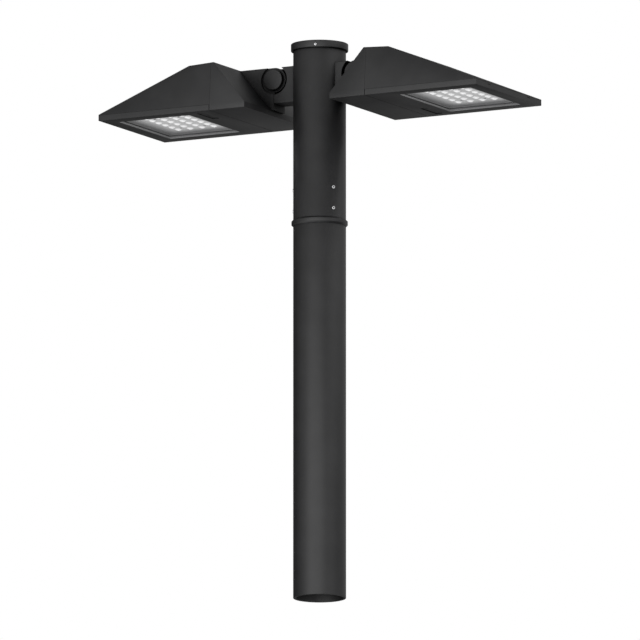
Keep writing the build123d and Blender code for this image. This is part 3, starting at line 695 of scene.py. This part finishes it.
glass_low, glass_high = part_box("right_door_glass")
seal_low, seal_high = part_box("right_door_gasket")
lever_low, lever_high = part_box("right_latch_lever")
trim_low, trim_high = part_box("right_window_trim")
window_rear, window_front = seam + 76 * MM, front_high.x - 37 * MM
window_half = head_half - 39 * MM
plate_top = head_base + 3 * MM
rim, front_rim = 9 * MM, 12.5 * MM
seal_width = 4 * MM
rail = 3.5 * MM
play = 0.5 * MM
trim = 1.2 * MM
lever_slot_half = 41.5 * MM
lug_play = 0.5 * MM
ear_rear, ear_front, ear_half = 2.5 * MM, 7.5 * MM, 2.75 * MM


def framed_block(low, high, margin, bottom, top):
    """A block that stands past a piece's sides by a margin, between two heights."""
    return block(low.x - margin, high.x + margin, high.y + margin, bottom, top)


tray = split_copy(
    outer_wedge,
    (Vector((door_low.x, 0, 0)), Vector((-1, 0, 0))),
    (Vector((door_high.x, 0, 0)), Vector((1, 0, 0))),
    (Vector((0, 0, door_high.z)), Vector((0, 0, 1))),
)
hollow = block(
    door_low.x + rim, door_high.x - front_rim, head_half - rim, plate_top, door_high.z + flange,
)
carve(tray, hollow)
groove = framed_block(seal_low, seal_high, 0, seal_low.z, door_high.z + flange)
carve(groove, framed_block(seal_low, seal_high, -seal_width, head_base, door_high.z + 2 * flange))
carve(tray, groove)
carve(tray, framed_block(glass_low, glass_high, rail, plate_top - MM, glass_high.z), "UNION")
carve(tray, framed_block(glass_low, glass_high, play, plate_top, door_high.z))
window_low = Vector((window_rear, -window_half, head_base))
window_high = Vector((window_front, window_half, plate_top))
carve(tray, framed_block(window_low, window_high, trim, head_base - flange, door_high.z))
carve(
    tray,
    block(
        lever_low.x - play, lever_high.x + play, lever_slot_half, head_base - MM,
        head_base + 4 * MM, latch_side,
    ),
)
for way, lug_side in zip((-1, 1), lug_sides):
    lug_room = lug_radius + lug_play
    carve(
        tray,
        block(
            hinge_x - lug_room, front_high.x, lug_half + lug_play, hinge_z - lug_room,
            door_high.z + MM, lug_side,
        ),
    )
    ear = block(
        lever_low.x - ear_rear, lever_low.x + ear_front, ear_half, plate_top - MM,
        head_base + 7.5 * MM, latch_side + way * (lever_slot_half + ear_half),
    )
    carve(tray, ear, "UNION")
smooth_rounds(tray)
both_heads(tray, "door_tray", "door", "head_coat", head_black, "door_frame")
for leftover in (outer_wedge, hollow_wedge):
    bpy.data.objects.remove(leftover)


# -------------------------------------------------------------------------------------------------
# Window trims and glass
# A bright grey anodised strip lines each window's edge.  The pane of 4 mm toughened glass is bedded
# on its flange, inside a thin lip, and its polished wall mirrors a little of the lit lenses.
# -------------------------------------------------------------------------------------------------

def anodised(name, colour, roughness, metallic, painted_spill=0.0):
    """Anodised sheet: dull silver-grey with a faint rolling grain along the head.  The spill is
    painted
    light: an emitted glow standing for the light that the lit lenses scatter over it."""
    glow = {"Emission Color": linear("FFFFFF"), "Emission Strength": painted_spill}
    material, shader = new_material(name, Metallic=metallic, **glow)
    place = node(material, "ShaderNodeTexCoord")
    stretch = node(
        material, "ShaderNodeMapping", links=[(place, "Object", "Vector")], Scale=(0.08, 1.0, 1.0),
    )
    grain = node(
        material, "ShaderNodeTexNoise", links=[(stretch, "Vector", "Vector")],
        Scale=1 / (0.8 * MM), Detail=3.0,
    )
    tone = node(material, "ShaderNodeValToRGB", links=[(grain, "Fac", "Fac")])
    tone.color_ramp.elements[0].color = tuple(0.85 * c for c in linear(colour)[:3]) + (1.0,)
    tone.color_ramp.elements[1].color = linear(colour)
    feed(material, tone, "Color", shader, "Base Color")
    gloss = node(
        material, "ShaderNodeMapRange", links=[(grain, "Fac", "Value")],
        **{"To Min": roughness * 0.8, "To Max": roughness * 1.2},
    )
    feed(material, gloss, "Result", shader, "Roughness")
    return material


# Painted light: the trim carries a faint, even emitted glow standing for the lenses' light on it.
trim_grey = anodised("bright_grey_anodised_trim", "68686A", 0.1, 0.5, 0.075)
strip = framed_block(window_low, window_high, trim, trim_low.z, plate_top)
carve(strip, framed_block(trim_low, trim_high, 0, plate_top, trim_high.z), "UNION")
lip = 0.4 * MM
carve(strip, framed_block(glass_low, glass_high, lip, trim_high.z - lip, glass_high.z), "UNION")
carve(strip, framed_block(glass_low, glass_high, 0, trim_high.z, door_high.z))
carve(strip, framed_block(window_low, window_high, 0, head_base - flange, door_high.z))
round_edges(strip, 0.25 * MM, segments=2)
both_heads(strip, "window_trim_strip", "door", "trim_sheet", trim_grey, "window_trim")

# Clear float glass, toughened: it shows as a reflection that grows at a low angle, over what is
# behind it.
clear_glass, glass_shader = new_material(
    "toughened_float_glass", **{"Base Color": linear("0C0F0E"), "Roughness": 0.04, "IOR": 1.5},
)
grazing = node(clear_glass, "ShaderNodeFresnel", IOR=1.35)
veil = node(
    clear_glass, "ShaderNodeMapRange", links=[(grazing, "Fac", "Value")],
    **{"To Min": 0.01, "To Max": 0.25},
)
feed(clear_glass, veil, "Result", glass_shader, "Alpha")
pane = framed_block(glass_low, glass_high, 0, glass_low.z, glass_high.z)
round_edges(pane, 0.5 * MM, segments=2)
both_heads(pane, "glass_pane", "door", "window_glass", clear_glass, "door_glass")


# -------------------------------------------------------------------------------------------------
# Reflector trays
# A folded tray of 0.8 mm satin aluminium round the lens array, one per head.  Its floor is pressed
# with an oblong hole for each lens, and its rim closes the gap down to the glass.
# -------------------------------------------------------------------------------------------------

tray_low, tray_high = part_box("right_reflector_plate")
optic_low, optic_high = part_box("right_led_optics")
sheet = 0.8 * MM
led_pitch = 32.5 * MM
led_middle = (optic_low.x + optic_high.x) / 2
led_places = [
    (led_middle + (row - 1.5) * led_pitch, (column - 2.5) * led_pitch)
    for row in range(4) for column in range(6)
]
tray_grey = anodised("satin_aluminium_reflector", "6E6E70", 0.5, 0.1)
# Painted light: a glow over the tray, full between the lenses and fading 52 mm past the last.
spill_reach = 52 * MM
tray_place = node(tray_grey, "ShaderNodeTexCoord")
along = node(tray_grey, "ShaderNodeSeparateXYZ", links=[(tray_place, "Object", "Vector")])
forward = node(tray_grey, "ShaderNodeMath", links=[(along, "X", 0)], operation="ABSOLUTE")
from_middle = node(tray_grey, "ShaderNodeMath", links=[(forward, "Value", 0)], operation="SUBTRACT")
from_middle.inputs[1].default_value = led_middle
painted_halo = []
for source, socket, last_lens in (
    (from_middle, "Value", 1.5 * led_pitch), (along, "Y", 2.5 * led_pitch),
):
    away = node(tray_grey, "ShaderNodeMath", links=[(source, socket, 0)], operation="ABSOLUTE")
    painted_halo.append(node(
        tray_grey, "ShaderNodeMapRange", links=[(away, "Value", "Value")],
        interpolation_type="SMOOTHSTEP",
        **{
            "From Min": last_lens, "From Max": last_lens + spill_reach,
            "To Min": 1.0, "To Max": 0.0,
        },
    ))
lit = node(
    tray_grey, "ShaderNodeMath", links=[(painted_halo[0], "Result", 0), (painted_halo[1], "Result", 1)],
    operation="MULTIPLY",
)
# Painted light: the emission strength of the tray, 0.085 at its edges and 0.5 among the lenses.
painted_spill = node(
    tray_grey, "ShaderNodeMapRange", links=[(lit, "Value", "Value")],
    **{"To Min": 0.085, "To Max": 0.5},
)
tray_shader = tray_grey.node_tree.nodes["Principled BSDF"]
feed(tray_grey, painted_spill, "Result", tray_shader, "Emission Strength")
reflector = framed_block(tray_low, tray_high, 0, tray_low.z, tray_high.z)
pick_faces(reflector, lambda centre, normal: normal.z < -0.5)
bpy.ops.mesh.inset(thickness=sheet, depth=0)
tray_depth = tray_high.z - tray_low.z - sheet
bpy.ops.mesh.extrude_region_move(TRANSFORM_OT_translate={"value": (0, 0, tray_depth)})
bpy.ops.object.mode_set(mode="OBJECT")
hole_radius = 8.6 * MM
lobe = 3 * MM
punches = []
for x, y in led_places:
    clear_selection()
    bpy.ops.mesh.primitive_cylinder_add(
        vertices=32, radius=hole_radius, depth=6 * sheet, location=(x, y, tray_high.z),
    )
    punch = bpy.context.object
    settle(punch)
    for point in punch.data.vertices:
        point.co.y += lobe if point.co.y > y else -lobe
    punches.append(punch)
carve(reflector, joined(punches))
both_heads(reflector, "reflector_tray", "head", "reflector_sheet", tray_grey, "reflector_plate")


# -------------------------------------------------------------------------------------------------
# Lens arrays
# One clear acrylic moulding per head with 24 two-lobed lenses, four rows by six, each over its own
# LED.  They are lit: brightest at the crown over the LED, dimmer towards the sheet between them.
# -------------------------------------------------------------------------------------------------

lens_white, lens_shader = new_material(
    "lit_acrylic_lenses",
    **{
        "Base Color": linear("808082"), "Roughness": 0.12, "IOR": 1.49,
        "Emission Color": linear("FFFFFF"),
    },
)
crown = node(lens_white, "ShaderNodeVertexColor", layer_name="glow")
glow = node(
    lens_white, "ShaderNodeMapRange", links=[(crown, "Color", "Value")],
    **{"From Min": 0.0, "From Max": 0.8, "To Min": 0.62, "To Max": 1.08},
)
feed(lens_white, glow, "Result", lens_shader, "Emission Strength")

lens_ball = 9 * MM
lens_drop = 4.4 * MM
lens_sheet_low = optic_low.z + lens_drop
array = framed_block(optic_low, optic_high, 0, lens_sheet_low, lens_sheet_low + 1.2 * MM)
domes = []
clear_selection()
for way in (-1, 1):
    bpy.ops.mesh.primitive_uv_sphere_add(
        segments=28, ring_count=18, radius=lens_ball,
        location=(0, way * lobe, lens_ball - lens_drop),
    )
    domes.append(bpy.context.object)
    settle(domes[-1])
    clear_selection()
carve(domes[0], domes[1], "UNION")
slice_off(domes[0], Vector((0, 0, 0.3 * MM)), Vector((0, 0, 1)))
lenses = [
    copy_of(domes[0], Matrix.Translation((x, y, lens_sheet_low))) for x, y in led_places
]
bpy.data.objects.remove(domes[0])
array = joined([array, *lenses])
smooth_rounds(array, angle=40)
shine = array.data.color_attributes.new("glow", "FLOAT_COLOR", "POINT")
for point, value in zip(array.data.vertices, shine.data):
    depth = max(0.0, min(1.0, (lens_sheet_low - point.co.z) / lens_drop))
    value.color = (depth, depth, depth, 1.0)
both_heads(array, "lens_array", "head", "lens_acrylic", lens_white, "led_optics")


# -------------------------------------------------------------------------------------------------
# Latch levers
# Black glass-filled nylon flaps, 82 mm long, sunk 1.5 mm into the slot of each door.  Each turns
# on a stainless pin along its rear edge and carries a hook that passes the housing's catch.
# -------------------------------------------------------------------------------------------------

nylon, nylon_shader = new_material("moulded_glass_filled_nylon", **{"IOR": 1.53})
nylon_place = node(nylon, "ShaderNodeTexCoord")
nylon_grain = node(
    nylon, "ShaderNodeTexNoise", links=[(nylon_place, "Object", "Vector")],
    Scale=1 / (0.7 * MM), Detail=4.0,
)
nylon_tone = node(nylon, "ShaderNodeValToRGB", links=[(nylon_grain, "Fac", "Fac")])
nylon_tone.color_ramp.elements[0].color = linear("0B0B0C")
nylon_tone.color_ramp.elements[1].color = linear("161617")
feed(nylon, nylon_tone, "Color", nylon_shader, "Base Color")
nylon_gloss = node(
    nylon, "ShaderNodeMapRange", links=[(nylon_grain, "Fac", "Value")],
    **{"To Min": 0.38, "To Max": 0.55},
)
feed(nylon, nylon_gloss, "Result", nylon_shader, "Roughness")

lever_thickness = 4 * MM
lever_half = 41 * MM
lever_x = lever_low.x + lever_thickness / 2
lever_z = lever_low.z + lever_thickness / 2
hook_half = 10 * MM
hook_sheet = 2.5 * MM
hook_reach = 4.7 * MM
stem_rear = lever_low.x + 8 * MM
grip_groove, grip_half, grip_spacing = 0.7 * MM, 15 * MM, 2.5 * MM
pin_hole = 1.1 * MM
lever_top = lever_low.z + lever_thickness
lever = block(lever_x, lever_high.x, lever_half, lever_low.z, lever_top, latch_side)
for count in (1, 2, 3):
    grip_x = lever_high.x - count * grip_spacing
    carve(lever, cross_rod(grip_groove, grip_half, grip_x, lever_low.z, latch_side, sides=16))
knuckle = cross_rod(lever_thickness / 2, lever_half, lever_x, lever_z, latch_side, sides=32)
carve(lever, knuckle, "UNION")
stem = block(stem_rear, stem_rear + hook_sheet, hook_half, lever_z, lever_high.z, latch_side)
hook_low = lever_high.z - hook_sheet
hook = block(
    stem_rear - hook_reach, stem_rear + MM, hook_half, hook_low, lever_high.z, latch_side,
)
carve(stem, hook, "UNION")
carve(lever, stem, "UNION")
carve(lever, cross_rod(pin_hole, lever_half + MM, lever_x, lever_z, latch_side, sides=24))
round_edges(lever, 0.3 * MM, segments=2, angle=40)
both_heads(lever, "latch_flap", "latch", "latch_nylon", nylon, "latch_lever")


# -------------------------------------------------------------------------------------------------
# Seals
# Black EPDM rubber: a ring in each door's groove and a saddle under each arm, with a dry matt skin.
# -------------------------------------------------------------------------------------------------

rubber, rubber_shader = new_material("black_epdm_rubber", **{"IOR": 1.5})
rubber_place = node(rubber, "ShaderNodeTexCoord")
bloom = node(
    rubber, "ShaderNodeTexNoise", links=[(rubber_place, "Object", "Vector")],
    Scale=1 / (4 * MM), Detail=5.0,
)
rubber_tone = node(rubber, "ShaderNodeValToRGB", links=[(bloom, "Fac", "Fac")])
rubber_tone.color_ramp.elements[0].color = linear("101011")
rubber_tone.color_ramp.elements[1].color = linear("202021")
feed(rubber, rubber_tone, "Color", rubber_shader, "Base Color")
rubber_gloss = node(
    rubber, "ShaderNodeMapRange", links=[(bloom, "Fac", "Value")],
    **{"To Min": 0.65, "To Max": 0.85},
)
feed(rubber, rubber_gloss, "Result", rubber_shader, "Roughness")

seal = framed_block(seal_low, seal_high, 0, seal_low.z, seal_high.z)
carve(seal, framed_block(seal_low, seal_high, -seal_width, head_base, door_high.z + flange))
round_edges(seal, 0.9 * MM, segments=3)
both_heads(seal, "door_seal", "door", "rubber_seal", rubber, "door_gasket")
for side in SIDES:
    repaint(f"{side}_arm_gasket", rubber)


# -------------------------------------------------------------------------------------------------
# Inner hardware
# Zinc-plated steel bolts, nuts, brackets and sleeve; a milled heat spreader; the white LED board;
# the grey driver case; the terminal block; brass friction washers.  They show when a door is open.
# -------------------------------------------------------------------------------------------------

def mottled(name, dark, pale, patch_mm, rough, smooth, **settings):
    """A surface whose colour and gloss drift in soft patches, as plating, paint and plastic do."""
    material, shader = new_material(name, **settings)
    place = node(material, "ShaderNodeTexCoord")
    patches = node(
        material, "ShaderNodeTexNoise", links=[(place, "Object", "Vector")],
        Scale=1 / (patch_mm * MM), Detail=6.0, Roughness=0.65,
    )
    tone = node(material, "ShaderNodeValToRGB", links=[(patches, "Fac", "Fac")])
    tone.color_ramp.elements[0].position = 0.3
    tone.color_ramp.elements[0].color = linear(dark)
    tone.color_ramp.elements[1].position = 0.7
    tone.color_ramp.elements[1].color = linear(pale)
    feed(material, tone, "Color", shader, "Base Color")
    gloss = node(
        material, "ShaderNodeMapRange", links=[(patches, "Fac", "Value")],
        **{"To Min": smooth, "To Max": rough},
    )
    feed(material, gloss, "Result", shader, "Roughness")
    return material


zinc = mottled("zinc_plated_steel", "8E9194", "B4B7B9", 3.0, 0.45, 0.25, Metallic=1.0)
milled = mottled("milled_aluminium", "A5A7A9", "C3C5C6", 1.5, 0.42, 0.28, Metallic=1.0)
laminate = mottled("white_solder_mask", "D9DBD6", "ECEDE9", 2.0, 0.5, 0.35, IOR=1.55)
case_paint = mottled("grey_enamelled_case", "8F9294", "A2A5A6", 6.0, 0.5, 0.35, IOR=1.5)
polyamide = mottled("natural_polyamide", "CFCBBD", "DEDACD", 2.0, 0.55, 0.4, IOR=1.53)
brass = mottled("rolled_brass", "A98545", "C29B57", 2.0, 0.4, 0.25, Metallic=1.0)
finishes = {
    "arm_bolts": zinc, "backing_plate": zinc, "pivot_bolt": zinc, "pivot_nut": zinc,
    "housing_screws": zinc, "driver_bracket": zinc, "heat_spreader": milled, "led_board": laminate,
    "driver": case_paint, "terminal_block": polyamide, "friction_washers": brass,
    "board_screws": bright_steel, "door_hinge_pins": bright_steel, "latch_pin": bright_steel,
}
for side in SIDES:
    for piece_name, finish in finishes.items():
        repaint(f"{side}_{piece_name}", finish)
repaint("joint_sleeve", zinc)


# -------------------------------------------------------------------------------------------------
# Floor, light and camera
# A pale round floor that fades out at its edge and can be looked through from below, a white
# surround whose broad soft panels light the unit, and a very long lens below the heads.
# -------------------------------------------------------------------------------------------------

clear_selection()
bpy.ops.mesh.primitive_circle_add(
    vertices=128, radius=4.0, fill_type="NGON", location=(0, 0, -2 * MM),
)
floor = bpy.context.object
settle(floor)
floor.name = "studio_floor"
floor_white, floor_shader = new_material(
    "pale_studio_floor", **{"Base Color": linear("F4F4F2"), "Roughness": 0.9},
)
floor_place = node(floor_white, "ShaderNodeTexCoord")
reach = node(
    floor_white, "ShaderNodeVectorMath", links=[(floor_place, "Object", 0)], operation="LENGTH",
)
fade = node(
    floor_white, "ShaderNodeMapRange", links=[(reach, "Value", "Value")],
    **{"From Min": 1.2, "From Max": 3.8, "To Min": 1.0, "To Max": 0.0},
)
facing = node(floor_white, "ShaderNodeNewGeometry")
upper = node(floor_white, "ShaderNodeMath", links=[(facing, "Backfacing", 1)], operation="SUBTRACT")
upper.inputs[0].default_value = 1.0
cover = node(
    floor_white, "ShaderNodeMath", links=[(fade, "Result", 0), (upper, "Value", 1)],
    operation="MULTIPLY",
)
feed(floor_white, cover, "Value", floor_shader, "Alpha")
floor.data.materials.append(floor_white)
floor.visible_diffuse = False
floor.visible_glossy = False
floor.visible_shadow = False

scene = bpy.context.scene
scene.view_settings.view_transform = "Standard"
world = bpy.data.worlds.new("white_surround")
scene.world = world
world.use_nodes = True
world.node_tree.nodes.clear()


def direction(azimuth, elevation):
    """The way from the light unit to a point at an azimuth (0 is towards -Y) and an elevation."""
    a, e = math.radians(azimuth), math.radians(elevation)
    return Vector((math.sin(a) * math.cos(e), -math.cos(a) * math.cos(e), math.sin(e)))


# The soft panels of the studio: azimuth and elevation of each one's middle, and its power.  Each
# is full for 16 degrees round its middle and has faded out at 48.
PANELS = (
    (-35, 5, 0.6), (8, -5, 1.7), (60, -17, 0.45), (60, 20, 0.35), (100, -10, 0.45),
    (110, 50, 1.0), (-75, 50, 0.15), (-40, -65, 1.3), (170, 0, 0.4),
)
AMBIENT = 0.05
panel_core, panel_edge = math.cos(math.radians(16)), math.cos(math.radians(48))
outward = node(world, "ShaderNodeTexCoord")
studio = node(world, "ShaderNodeValue")
studio.outputs["Value"].default_value = AMBIENT
for azimuth, elevation, power in PANELS:
    nearness = node(
        world, "ShaderNodeVectorMath", links=[(outward, "Generated", 0)], operation="DOT_PRODUCT",
    )
    nearness.inputs[1].default_value = direction(azimuth, elevation)
    panel = node(
        world, "ShaderNodeMapRange", links=[(nearness, "Value", "Value")],
        interpolation_type="SMOOTHSTEP",
        **{"From Min": panel_edge, "From Max": panel_core, "To Max": power},
    )
    studio = node(
        world, "ShaderNodeMath", links=[(studio, "Value", 0), (panel, "Result", 1)],
        operation="ADD",
    )
seen = node(world, "ShaderNodeLightPath")
brightness = node(
    world, "ShaderNodeMix", links=[(seen, "Is Camera Ray", "Factor"), (studio, "Value", "A")],
    data_type="FLOAT", B=1.0,
)
surround = node(world, "ShaderNodeBackground", links=[(brightness, "Result", "Strength")])
surround.inputs["Color"].default_value = (1, 1, 1, 1)
node(world, "ShaderNodeOutputWorld", links=[(surround, "Background", "Surface")])

# The camera stands far off behind a long lens, so that parallel edges stay parallel.
middle = Vector((0, 0, 0.677))
view_azimuth, view_elevation = 28.5, -10.0
camera_distance = 72.0
frame_width = 1.536
lens = bpy.data.cameras.new("long_lens")
lens.sensor_width = 4.8
lens.lens = lens.sensor_width * camera_distance / frame_width
lens.shift_x = 0.0006
lens.clip_start = 10.0
lens.clip_end = 200.0
camera = bpy.data.objects.new("long_lens", lens)
scene.collection.objects.link(camera)
towards = direction(view_azimuth, view_elevation)
camera.location = middle + camera_distance * towards
camera.rotation_mode = "QUATERNION"
camera.rotation_quaternion = towards.to_track_quat("Z", "Y")
scene.camera = camera
